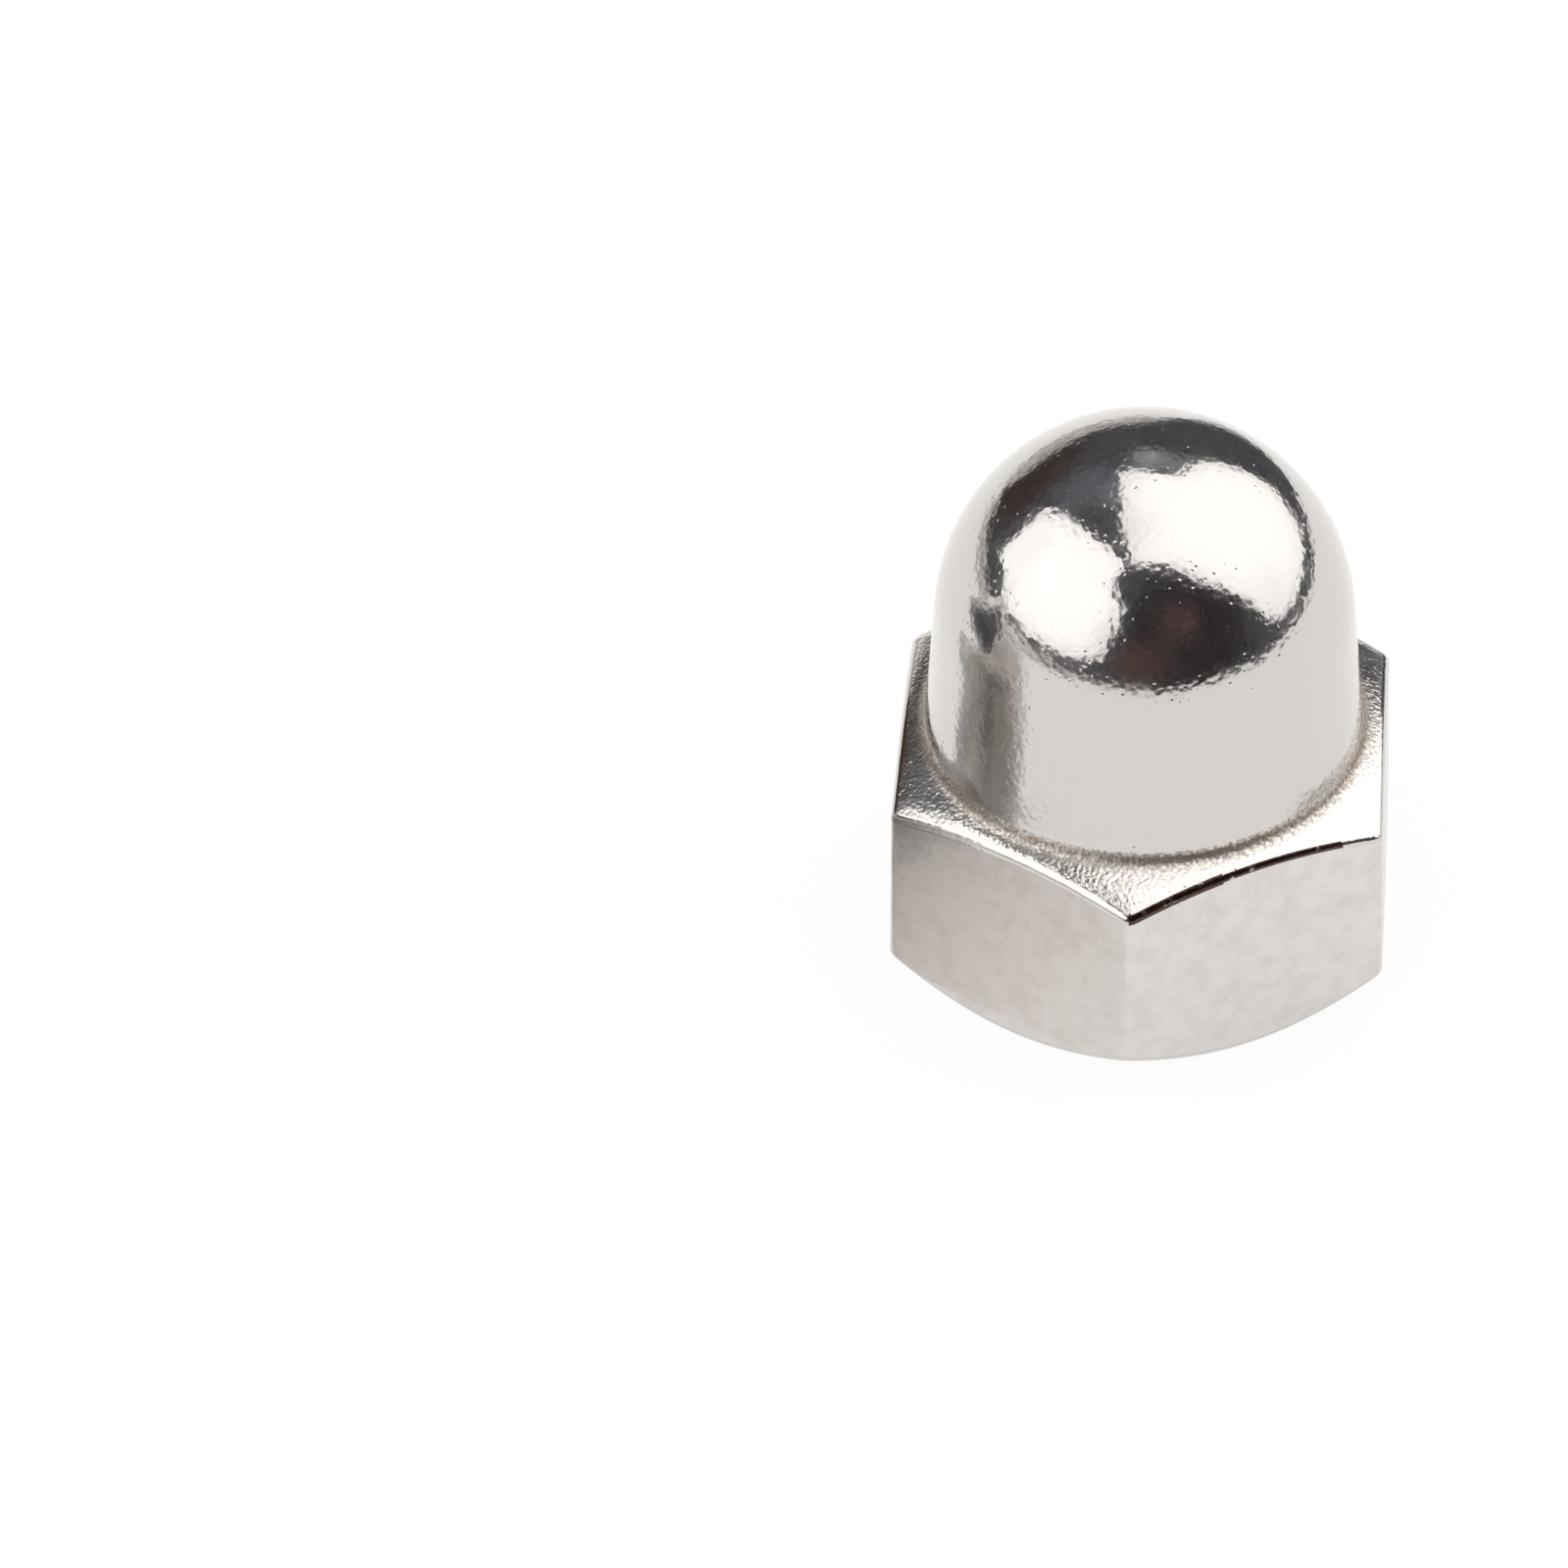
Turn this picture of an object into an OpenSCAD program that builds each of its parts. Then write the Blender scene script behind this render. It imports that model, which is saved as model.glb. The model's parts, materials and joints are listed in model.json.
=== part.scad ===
// Domed cap nut for an M8 stud, in one piece, with a hexagon that tapers a little towards the dome.
// It stands on its bearing face at z = 0, with the dome up and the threaded hole open downwards.
// All lengths are in millimetres and all angles in degrees.

/* [Hexagon] */
// Wrench size, from flat to opposite flat, at the bearing face
across_flats = 13; // [12.8:0.1:15]
// Lean of every flat, inwards and up
flat_lean = 1.3; // [0:0.1:2]
// Height of the sloping shoulder above the bearing face, at the wrench size
shoulder_h = 6.1; // [4.5:0.1:7]
// Slope of the shoulder, down from the neck to the corners
shoulder_angle = 23; // [15:1:30]
// How far the round bearing face stays inside the flats
face_inset = 0.2; // [0.15:0.05:0.4]
// Slope of the chamfer round the bearing face
base_angle = 40; // [30:1:45]

/* [Polished edges] */
// Radius on the six upright corners
corner_r = 0.35; // [0.2:0.05:0.6]
// Radius where the flats meet the shoulder
shoulder_edge_r = 0.3; // [0.15:0.05:0.4]
// Radius where the flats meet the lower chamfer
base_edge_r = 0.25; // [0.15:0.05:0.3]
// Radius round the bearing face
face_edge_r = 0.2; // [0.1:0.05:0.3]

/* [Dome] */
// Height of the whole nut
total_h = 15.2; // [14.8:0.1:18]
// How far the foot of the neck stays inside the flats
neck_inset = 0.75; // [0.6:0.05:1]
// How much smaller the dome's radius is than the radius at the neck's foot
neck_taper = 0.3; // [0.1:0.05:0.5]
// Radius of the hollow corner between neck and shoulder
neck_fillet_r = 0.4; // [0.1:0.05:0.45]

/* [Threaded hole] */
// Diameter of the drilled hole, before the thread is cut
bore_d = 6.8; // [6.4:0.1:7.2]
// Steel left from the end of the hole's full diameter to the top of the dome
crown = 3.7; // [3.3:0.1:6]
// Angle of the drill's point
point_angle = 118; // [110:1:140]
// Diameter of the recess at the mouth, at its outer end
recess_d = 8.6; // [8.3:0.1:9]
// Diameter of the recess where the thread begins
thread_d = 8; // [7.6:0.1:8.2]
// Depth of the recess at the mouth
recess_depth = 1.4; // [1:0.1:2.4]
// Full angle of the lead-in from the recess to the drilled hole
lead_in_angle = 120; // [90:1:130]
// Radius of the rounded lip at the mouth
lip_r = 0.4; // [0.15:0.05:0.5]

/* [Hidden] */
flats = 6;
half_turn = 180 / flats;
flat_r = across_flats / 2;
corner_reach = flat_r / cos(half_turn);
face_r = flat_r - face_inset;
neck_r = flat_r - neck_inset;
dome_r = neck_r - neck_taper;
bore_r = bore_d / 2;
bore_depth = total_h - crown;
// How far a cutting shape reaches past the surface that it cuts
past = 0.25;
// How far an edge cutter runs on past the flat's corners
corner_overrun = 1;
// Narrow facets that a polished edge of the hexagon is made of
facets = 3;
// Short cones that a turned round is made of
cones = 6;
round_steps = 180;

// Height of the shoulder, and of the lower chamfer, at a distance r from the axis
function shoulder_z(r) = shoulder_h - (r - flat_r) * tan(shoulder_angle);
function base_z(r) = (r - face_r) * tan(base_angle);

// Unit vector at an angle
function toward(a) = [cos(a), sin(a)];

// Points along an arc from angle a0 to angle a1
function arc(centre, r, a0, a1, steps) =
    [for (i = [0 : steps]) centre + r * toward(a0 + (a1 - a0) * i / steps)];

// The neck's side leaves the shoulder here and runs straight up until it is tangent to the dome
neck_foot = [neck_r, shoulder_z(neck_r)];
dome_centre = [0, total_h - dome_r];
dome_to_foot = neck_foot - dome_centre;
neck_lean = atan2(dome_to_foot[1], dome_to_foot[0]) + acos(dome_r / norm(dome_to_foot));
neck_top = dome_centre + dome_r * toward(neck_lean);

// Outline of the turned body, from the axis out along the bearing face and back up to the axis
module turned_outline() {
    bar_r = corner_reach + past;
    face_edge_centre = [face_r - face_edge_r * tan(base_angle / 2), face_edge_r];
    // Outward directions of the neck and the shoulder
    neck_out = neck_lean;
    shoulder_out = 90 - shoulder_angle;
    fillet_centre = neck_foot + neck_fillet_r / cos((shoulder_out - neck_out) / 2)
        * toward((shoulder_out + neck_out) / 2);
    polygon(concat(
        [[0, 0]],
        arc(face_edge_centre, face_edge_r, -90, base_angle - 90, cones),
        [[bar_r, base_z(bar_r)], [bar_r, shoulder_z(bar_r)]],
        arc(fillet_centre, neck_fillet_r, 180 + shoulder_out, 180 + neck_out, cones),
        [neck_top, [0, neck_top[1]]]
    ));
    intersection() {
        translate(dome_centre) circle(r = dome_r, $fn = round_steps);
        square([dome_r, total_h]);
    }
}

// Slab between two opposite sides of the hexagon, which lean in by this much per millimetre of height
module leaning_slab(direction, foot_x, lean) {
    h = total_h + past;
    top_x = foot_x - h * lean;
    rotate([0, 0, direction])
        rotate([90, 0, 0])
            linear_extrude(height = 4 * flat_r, center = true)
                polygon([[-foot_x, 0], [foot_x, 0], [top_x, h], [-top_x, h]]);
}

// Tapered hexagon, with every corner polished to a few narrow facets round an arc
module tapered_hexagon() {
    centre_reach = (flat_r - corner_r) / cos(half_turn);
    facet_turn = 2 * half_turn / (facets + 1);
    lean = tan(flat_lean);
    intersection_for(k = [0 : flats / 2 - 1])
        intersection() {
            leaning_slab(2 * half_turn * k, flat_r, lean);
            intersection_for(i = [1 : facets]) {
                off_corner = i * facet_turn - half_turn;
                leaning_slab(90 + 2 * half_turn * k + off_corner,
                    centre_reach * cos(off_corner) + corner_r,
                    lean * cos(off_corner) / cos(half_turn));
            }
        }
}

// Distance of a leaning flat from the axis, at height z
function flat_x(z) = flat_r - z * tan(flat_lean);

// Heights at which the middle of a flat meets the shoulder and the lower chamfer
flat_top_z = shoulder_h / (1 - tan(flat_lean) * tan(shoulder_angle));
flat_low_z = base_z(flat_r) / (1 + tan(flat_lean) * tan(base_angle));

// Radius of the arc that an edge follows on a flat this far from the axis, below a cone of this slope
function edge_sweep_r(x, slope) =
    let (half_w = x * tan(half_turn), drop = (x / cos(half_turn) - x) * tan(slope))
    (half_w * half_w + drop * drop) / (2 * drop);

// Cutter that polishes an edge round: part of a ring that turns about the normal of the flat at z = 0,
// with the edge at distance sweep_r, where the next face is this many degrees short of square
module edge_cutter(edge_r, sweep_r, slope) {
    sweep = asin((corner_reach / 2 + corner_overrun) / sweep_r);
    turn = 90 - slope;
    half_facet = turn / (facets + 1) / 2;
    centre = [sweep_r - edge_r * tan(turn / 2), -edge_r];
    inner = arc(centre, edge_r / cos(half_facet), 90 - half_facet, slope + half_facet, facets);
    first_end = inner[0] + past * toward(180 - 2 * half_facet);
    last_end = inner[facets] + past * toward(slope + 2 * half_facet - 90);
    rotate([0, 0, -sweep])
        rotate_extrude(angle = 2 * sweep, $fn = round_steps)
            polygon(concat(
                [first_end],
                [for (i = [1 : facets - 1]) inner[i]],
                [last_end, [sweep_r + past, past]]
            ));
}

// Cutter for the edge between the shoulder and the flat that faces away from a direction
module shoulder_edge_cutter(direction) {
    x = flat_x(flat_top_z);
    sweep_r = edge_sweep_r(x, shoulder_angle);
    rotate([0, 0, direction])
        translate([-x, 0, flat_top_z])
            rotate([0, flat_lean, 0])
                translate([0, 0, -sweep_r])
                    rotate([0, -90, 0])
                        edge_cutter(shoulder_edge_r, sweep_r, shoulder_angle + flat_lean);
}

// Cutter for the edge between the lower chamfer and the flat that faces a direction
module base_edge_cutter(direction) {
    x = flat_x(flat_low_z);
    sweep_r = edge_sweep_r(x, base_angle);
    rotate([0, 0, direction])
        translate([x, 0, flat_low_z])
            rotate([0, -flat_lean, 0])
                translate([0, 0, sweep_r])
                    rotate([0, 90, 0])
                        edge_cutter(base_edge_r, sweep_r, base_angle - flat_lean);
}

// Blind hole with its recessed mouth, drilled from below and ending in the drill's point
module hole() {
    mouth = [recess_d / 2, 0];
    thread_start = [thread_d / 2, recess_depth];
    wall_lean = atan2(mouth[0] - thread_start[0], recess_depth);
    lip_centre = [mouth[0] + lip_r * tan((90 - wall_lean) / 2), lip_r];
    lead_in = (thread_start[0] - bore_r) / tan(lead_in_angle / 2);
    rotate_extrude($fn = round_steps)
        polygon(concat(
            [[0, -past], [lip_centre[0], -past]],
            arc(lip_centre, lip_r, 270, 180 + wall_lean, cones),
            [thread_start, [bore_r, recess_depth + lead_in], [bore_r, bore_depth]],
            [[0, bore_depth + bore_r / tan(point_angle / 2)]]
        ));
}

// Turned body and tapered hexagon in one
module blank() {
    intersection() {
        rotate_extrude($fn = round_steps) turned_outline();
        tapered_hexagon();
    }
}

// The blank with the edges along its shoulder polished round, every other flat at a time
module polished_above() {
    difference() {
        difference() {
            blank();
            for (k = [0 : 2 : flats - 1]) shoulder_edge_cutter(2 * half_turn * k);
        }
        for (k = [1 : 2 : flats - 1]) shoulder_edge_cutter(2 * half_turn * k);
    }
}

// The same with the edges along its lower chamfer polished too
module polished_all_round() {
    difference() {
        difference() {
            polished_above();
            for (k = [0 : 2 : flats - 1]) base_edge_cutter(2 * half_turn * k);
        }
        for (k = [1 : 2 : flats - 1]) base_edge_cutter(2 * half_turn * k);
    }
}

module cap_nut() {
    color("silver")
        difference() {
            polished_all_round();
            hole();
        }
}

cap_nut();
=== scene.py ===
# %% [markdown]
# A cap nut, forged in one piece
#
# A cap nut closes the end of a stud. A press squeezes it from a slug of stainless steel: dome,
# neck, sloping shoulder and hexagon in one blow, and the hexagon tapers a little so that it leaves
# the die. Then a lathe faces the foot, and a blind hole is drilled and tapped from below. Tumbling
# and buffing round every edge and turn the steel into a mirror. This lesson builds that finished
# skin.

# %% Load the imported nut
import json

import bpy
import numpy as np
from mathutils import Matrix, Vector


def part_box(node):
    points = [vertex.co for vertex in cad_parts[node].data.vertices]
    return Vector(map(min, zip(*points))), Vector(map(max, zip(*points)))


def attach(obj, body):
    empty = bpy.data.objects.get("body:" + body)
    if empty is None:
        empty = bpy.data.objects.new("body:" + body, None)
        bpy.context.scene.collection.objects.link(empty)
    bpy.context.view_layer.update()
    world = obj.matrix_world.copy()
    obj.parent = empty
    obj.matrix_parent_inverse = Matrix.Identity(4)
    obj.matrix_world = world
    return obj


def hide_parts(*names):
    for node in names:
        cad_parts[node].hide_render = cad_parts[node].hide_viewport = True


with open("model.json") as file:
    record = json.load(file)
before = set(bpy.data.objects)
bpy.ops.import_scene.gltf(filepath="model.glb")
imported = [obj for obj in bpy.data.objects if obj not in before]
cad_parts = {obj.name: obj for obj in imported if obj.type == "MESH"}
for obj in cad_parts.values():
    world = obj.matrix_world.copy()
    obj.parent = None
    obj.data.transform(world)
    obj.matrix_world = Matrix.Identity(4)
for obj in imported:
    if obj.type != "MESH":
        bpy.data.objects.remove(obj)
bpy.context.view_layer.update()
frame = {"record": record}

MM = 0.001

# %% [markdown]
# The sizes
#
# A drawing of a nut needs few sizes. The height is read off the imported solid, and the drilled hole
# is in its record. The rest are the drawing's other sizes, in millimetres and degrees, so the skin
# follows the solid line by line.

# %% Sizes of the nut
node_low, node_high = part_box("cap_nut")
thread_mount = next(m for m in frame["record"]["mounts"] if m["kind"] == "threaded_hole")

FLATS = 6
TOTAL_H = (node_high[2] - node_low[2]) / MM
FLAT_R = 6.5
FLAT_LEAN = 1.3
SHOULDER_H = 6.1
SHOULDER_ANGLE = 23.0
FACE_R = 6.3
BASE_ANGLE = 40.0
NECK_R = 5.75
DOME_R = 5.45

CORNER_R = 0.35
SHOULDER_EDGE_R = 0.3
BASE_EDGE_R = 0.25
FACE_EDGE_R = 0.2
NECK_FILLET_R = 0.4
LIP_R = 0.4

BORE_R = thread_mount["dims"]["r_mm"]
BORE_DEPTH = 11.5
POINT_ANGLE = 118.0
RECESS_R = 4.3
RECESS_DEPTH = 1.4
LEAD_IN_ANGLE = 120.0

THREAD_R = 4.0
PITCH = 1.25
THREAD_END = 10.8
print("across flats", round(2 * FLAT_R, 2), "height", round(TOTAL_H, 2), "hole", 2 * BORE_R)

# %% [markdown]
# Columns round the nut
#
# The skin is a sheet of quads that runs round the nut in columns and down it in rows. Seen from
# above, the outline is a hexagon whose corners are small arcs. A corner needs many narrow columns,
# so that its arc looks round, and a flat needs few. Every column keeps its angle from dome to
# thread. The hexagon's taper only draws the columns inwards with height.

# %% Angles of the columns, and the hexagon's outline at each
FLAT_COLUMNS = 22
CORNER_COLUMNS = 8
HALF_SIDE = 180.0 / FLATS


def toward(degrees):
    a = np.radians(degrees)
    return np.stack([np.cos(a), np.sin(a)], axis=-1)


corner_reach = (FLAT_R - CORNER_R) / np.cos(np.radians(HALF_SIDE))
flat_end = np.array([FLAT_R, (FLAT_R - CORNER_R) * np.tan(np.radians(HALF_SIDE))])
along_flat = np.linspace(-1, 1, FLAT_COLUMNS + 1)[:-1]
flat_points = np.stack([np.full(FLAT_COLUMNS, FLAT_R), along_flat * flat_end[1]], axis=-1)
corner_turn = np.linspace(0, 2 * HALF_SIDE, CORNER_COLUMNS + 1)[:-1]
corner_points = corner_reach * toward(HALF_SIDE) + CORNER_R * toward(corner_turn)
side_points = np.concatenate([flat_points, corner_points])
side_angle = np.arctan2(side_points[:, 1], side_points[:, 0])
theta = np.concatenate([side_angle + np.radians(2 * HALF_SIDE * k) for k in range(FLATS)])
hexagon_r = np.tile(np.hypot(side_points[:, 0], side_points[:, 1]), FLATS)
lean = np.tan(np.radians(FLAT_LEAN)) * hexagon_r / FLAT_R
COLUMNS = len(theta)
print(COLUMNS, "columns, hexagon from", hexagon_r.min().round(3), "to", hexagon_r.max().round(3), "mm")

# %% [markdown]
# The half section
#
# Cut the nut from its axis outward at any column and the cut is the same chain of lines and small
# arcs, only wider towards a corner. Each helper below returns rows of points, distance from the
# axis and height, for all the columns at once. A polished edge is an arc that touches both its
# lines.

# %% Helpers that draw a half section
def everywhere(point):
    return np.broadcast_to(np.asarray(point, float), (COLUMNS, 2))


def rounded(corner, before, after, radius, steps, hollow=False):
    """Rows along the arc that rounds a corner, between lines that face these two directions."""
    side = -1.0 if hollow else 1.0
    before, after = np.broadcast_to(before, COLUMNS), np.broadcast_to(after, COLUMNS)
    reach = radius / np.cos(np.radians(after - before) / 2)
    centre = everywhere(corner) - side * reach[:, None] * toward((before + after) / 2)
    shares = np.linspace(0, 1, steps + 1)
    return np.stack([centre + side * radius * toward(before + t * (after - before)) for t in shares])


def straight(start, end, steps):
    """Rows along a line, without its two ends."""
    t = np.linspace(0, 1, steps + 1)[1:-1, None, None]
    return everywhere(start) + t * (everywhere(end) - everywhere(start))


def joined(parts, steps):
    """Chains rows together, with straight runs of so many steps between one part and the next."""
    chain = [parts[0]]
    for part, count in zip(parts[1:], steps):
        chain += [straight(chain[-1][-1], part[0], count), part]
    return np.concatenate(chain)


def shoulder_z(r):
    return SHOULDER_H - (r - FLAT_R) * np.tan(np.radians(SHOULDER_ANGLE))


def base_z(r):
    return (r - FACE_R) * np.tan(np.radians(BASE_ANGLE))


# %% [markdown]
# Dome and neck
#
# The neck leans in a little and runs into the dome without a seam, so its line is the tangent from
# the neck's foot to the dome's circle. At the foot, a small hollow corner leads over to the
# shoulder.

# %% Rows of the dome and of the hollow corner
DOME_STEPS, FILLET_STEPS = 44, 6

dome_centre = np.array([0.0, TOTAL_H - DOME_R])
neck_foot = np.array([NECK_R, shoulder_z(NECK_R)])
foot_reach = neck_foot - dome_centre
NECK_LEAN = np.degrees(np.arctan2(foot_reach[1], foot_reach[0])
                       + np.arccos(DOME_R / np.hypot(*foot_reach)))
SHOULDER_OUT = 90.0 - SHOULDER_ANGLE

dome_angles = np.linspace(90, NECK_LEAN, DOME_STEPS + 1)[1:]
dome = np.stack([everywhere(dome_centre + DOME_R * toward(a)) for a in dome_angles])
neck_fillet = rounded(neck_foot, NECK_LEAN, SHOULDER_OUT, NECK_FILLET_R, FILLET_STEPS, hollow=True)
print("dome rows", len(dome), "neck leans", round(NECK_LEAN, 2), "degrees")

# %% [markdown]
# Shoulder, flats and foot
#
# The flats meet the sloping shoulder above and the chamfer below. Both meetings lie lower, or
# higher, the farther a column reaches out, which draws the curved edges that a cut hexagon has.
# Every edge is then polished round. The last row is the edge of the ring that bears on the washer.

# %% Rows from the shoulder down to the bearing face
SHOULDER_EDGE_STEPS, BASE_EDGE_STEPS, FACE_EDGE_STEPS = 7, 5, 4
NECK_STEPS, SLOPE_STEPS, FLAT_STEPS, CHAMFER_STEPS = 10, 8, 12, 2
BASE_OUT = BASE_ANGLE - 90.0
DOWN = -90.0

shoulder_slope, base_slope = np.tan(np.radians([SHOULDER_ANGLE, BASE_ANGLE]))
flat_out = np.degrees(np.arctan(lean))
flat_top_z = shoulder_z(hexagon_r) / (1 - lean * shoulder_slope)
flat_low_z = base_z(hexagon_r) / (1 + lean * base_slope)
flat_top = np.stack([hexagon_r - lean * flat_top_z, flat_top_z], -1)
flat_low = np.stack([hexagon_r - lean * flat_low_z, flat_low_z], -1)
shoulder_edge = rounded(flat_top, SHOULDER_OUT, flat_out, SHOULDER_EDGE_R, SHOULDER_EDGE_STEPS)
base_edge = rounded(flat_low, flat_out, BASE_OUT, BASE_EDGE_R, BASE_EDGE_STEPS)
face_edge = rounded((FACE_R, 0), BASE_OUT, DOWN, FACE_EDGE_R, FACE_EDGE_STEPS)
outside = joined([dome, neck_fillet, shoulder_edge, base_edge, face_edge],
                 [NECK_STEPS, SLOPE_STEPS, FLAT_STEPS, CHAMFER_STEPS])
print("outside rows", len(outside))

# %% [markdown]
# The crowned shoulder
#
# Tumbling wears a slope down towards its outer edge, so the shoulder isn't a plain cone. It is
# crowned by a few hundredths of a millimetre, and at its outer edge it tilts this many degrees
# more.

# %% Crown the shoulder
CROWN_TILT = 11.0

slope_start = len(dome) + NECK_STEPS - 1 + len(neck_fillet) - 1
slope_width = np.linalg.norm(shoulder_edge[0] - neck_fillet[-1], axis=-1)
for i in range(1, SLOPE_STEPS):
    t = i / SLOPE_STEPS
    crown = t * t * (1 - t) * slope_width * np.tan(np.radians(CROWN_TILT))
    outside[slope_start + i] += crown[:, None] * toward(SHOULDER_OUT)
print("shoulder between", slope_width.min().round(2), "and", slope_width.max().round(2), "mm wide")

# %% [markdown]
# Mouth of the hole
#
# The drill breaks in through a recess a little wider than the thread, so that a stud finds its way.
# Tumbling leaves the recess a round, bright lip.

# %% Rows from the bearing face into the recess
LIP_STEPS, RECESS_STEPS, FACE_STEPS = 8, 5, 8

recess_lean = np.degrees(np.arctan2(RECESS_R - THREAD_R, RECESS_DEPTH))
lip = rounded((RECESS_R, 0), DOWN, recess_lean - 180, LIP_R, LIP_STEPS)
thread_start = everywhere((THREAD_R, RECESS_DEPTH))[None]
mouth = joined([lip, thread_start], [RECESS_STEPS])
face_run = straight(outside[-1], mouth[0], FACE_STEPS)
print("recess leans", round(recess_lean, 1), "degrees")

# %% [markdown]
# A real thread
#
# A thread is a groove that climbs as it goes round. If the rows stayed level, its crests would
# cross them in steps. So here each row climbs one pitch in one turn, and at the seam it meets the
# row one turn further on. A few rows a turn are then enough: two flanks at 60 degrees, a flat crest
# that the drill left and a narrow flat at the bottom of the groove. Rows that would run out of the
# threaded stretch are held at its ends, where they fall together into one level ring.

# %% One groove, as shares of the pitch and of its depth
HALF_FLANK_ANGLE = 30
ROOT_W = 1 / 8
NICK_W, NICK_DEPTH = 0.03, 0.04

flank_w = (THREAD_R - BORE_R) * np.tan(np.radians(HALF_FLANK_ANGLE)) / PITCH
crest_w = 1 - 2 * flank_w - ROOT_W
crest_end, root_start, root_end = crest_w, crest_w + flank_w, crest_w + flank_w + ROOT_W
groove = [
    (0.0, NICK_DEPTH), (NICK_W, 0.0), (crest_w / 2, 0.0), (crest_end - NICK_W, 0.0),
    (crest_end, NICK_DEPTH), (crest_end + flank_w / 2, 0.5), (root_start, 1 - NICK_DEPTH),
    (root_start + NICK_W, 1.0), (root_end - NICK_W, 1.0), (root_end, 1 - NICK_DEPTH),
    (root_end + flank_w / 2, 0.5),
]
print("crest", round(crest_w * PITCH, 2), "mm wide, flank", round(flank_w * PITCH, 2), "mm")

# %% [markdown]
# Winding the groove
#
# The groove is wound from the recess to the thread's end. Near the recess it stays outside the
# lead-in cone, and over the last turn and a half it runs out to nothing, as a tap's taper leaves
# it.

# %% Rows of the thread
FADE = 1.5 * PITCH

TURN_ROWS = len(groove)
thread_rows = int(np.ceil((THREAD_END - RECESS_DEPTH) / PITCH + 1)) * TURN_ROWS
turn_share = theta / (2 * np.pi) - theta[0] / (2 * np.pi)
lead_in_slope = np.tan(np.radians(LEAD_IN_ANGLE / 2))

climb = np.empty((thread_rows + 1, COLUMNS, 2))
for j in range(thread_rows + 1):
    phase, depth = groove[j % TURN_ROWS]
    z = RECESS_DEPTH + (j // TURN_ROWS + phase - 1 + turn_share) * PITCH
    z = np.clip(z, RECESS_DEPTH, THREAD_END)
    lead_in = THREAD_R - (z - RECESS_DEPTH) * lead_in_slope
    fade = np.clip((THREAD_END - z) / FADE, 0, 1)
    climb[j, :, 0] = np.maximum(lead_in, BORE_R + (THREAD_R - BORE_R) * depth * fade)
    climb[j, :, 1] = z
print(thread_rows // TURN_ROWS - 1, "turns of thread in", thread_rows, "rows")

# %% [markdown]
# Bottom of the hole
#
# The drill goes a little deeper than the tap, and its point leaves a flat cone.

# %% Rows from the thread's end to the drill's point
POINT_STEPS = 5
TIP_SHARE = 0.06

thread_end = everywhere((BORE_R, THREAD_END))[None]
bore_end = everywhere((BORE_R, BORE_DEPTH))[None]
point_z = BORE_DEPTH + BORE_R / np.tan(np.radians(POINT_ANGLE / 2))
near_point_z = BORE_DEPTH + (point_z - BORE_DEPTH) * (1 - TIP_SHARE)
near_point = everywhere((BORE_R * TIP_SHARE, near_point_z))[None]
inside = joined([bore_end, near_point], [POINT_STEPS])
print("drill's point at", round(float(point_z), 2), "mm")

# %% [markdown]
# Sewing the rows into one closed skin
#
# Each row becomes a ring of vertices, and neighbouring rings are joined by quads. The two ends
# close in a fan, at the top of the dome and at the drill's point. Nothing is left open, so the skin
# is a solid that could be printed.

# %% Helpers that sew rows together
vertices, faces, finish_of_face = [], [], []


def vertex(r, z, angle):
    """Adds a vertex at a distance from the axis, a height and an angle, and returns its number."""
    vertices.append((r * np.cos(angle) * MM, r * np.sin(angle) * MM, z * MM))
    return len(vertices) - 1


def ring(row):
    """Adds one row of vertices and returns their numbers."""
    return [vertex(r, z, angle) for (r, z), angle in zip(row, theta)]


def add_face(corners, finish):
    """Adds a face, without corners that fall together, or nothing if too few are left."""
    kept = [v for i, v in enumerate(corners) if v != corners[i - 1]]
    if len(set(kept)) > 2:
        faces.append(kept)
        finish_of_face.append(finish)


def sew(upper, lower, finish):
    """Joins two rings with quads."""
    for c in range(COLUMNS):
        n = (c + 1) % COLUMNS
        add_face([upper[c], lower[c], lower[n], upper[n]], finish)


def cap(tip_z, row, finish, faces_up):
    """Closes a ring with a fan round a tip on the axis."""
    tip = vertex(0.0, tip_z, 0.0)
    for c in range(COLUMNS):
        n = (c + 1) % COLUMNS
        add_face([tip, row[c], row[n]] if faces_up else [row[c], tip, row[n]], finish)


# %% [markdown]
# Sewing the outside
#
# Each face gets the number of its finish. The outside is polished, but for the shoulder and the
# flats. A dark reflection is painted along the edge over one flat: it begins at the corner, where it
# fills the edge's whole round, and gets thinner as it goes.

# %% Sew the outside
POLISHED, FORGED, FLAT, TURNED, TAPPED, PAINTED_EDGE_REFLECTION = range(6)
REFLECTION_EDGE_SIDE, REFLECTION_STOPS_SHORT = 5, 3
REFLECTION_ROWS, REFLECTION_THINNING, REFLECTION_TOP_ROW = 7, 4, 2

side_start = REFLECTION_EDGE_SIDE * (FLAT_COLUMNS + CORNER_COLUMNS)
reflection_columns = range(side_start - CORNER_COLUMNS // 2, side_start + FLAT_COLUMNS - REFLECTION_STOPS_SHORT)

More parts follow.
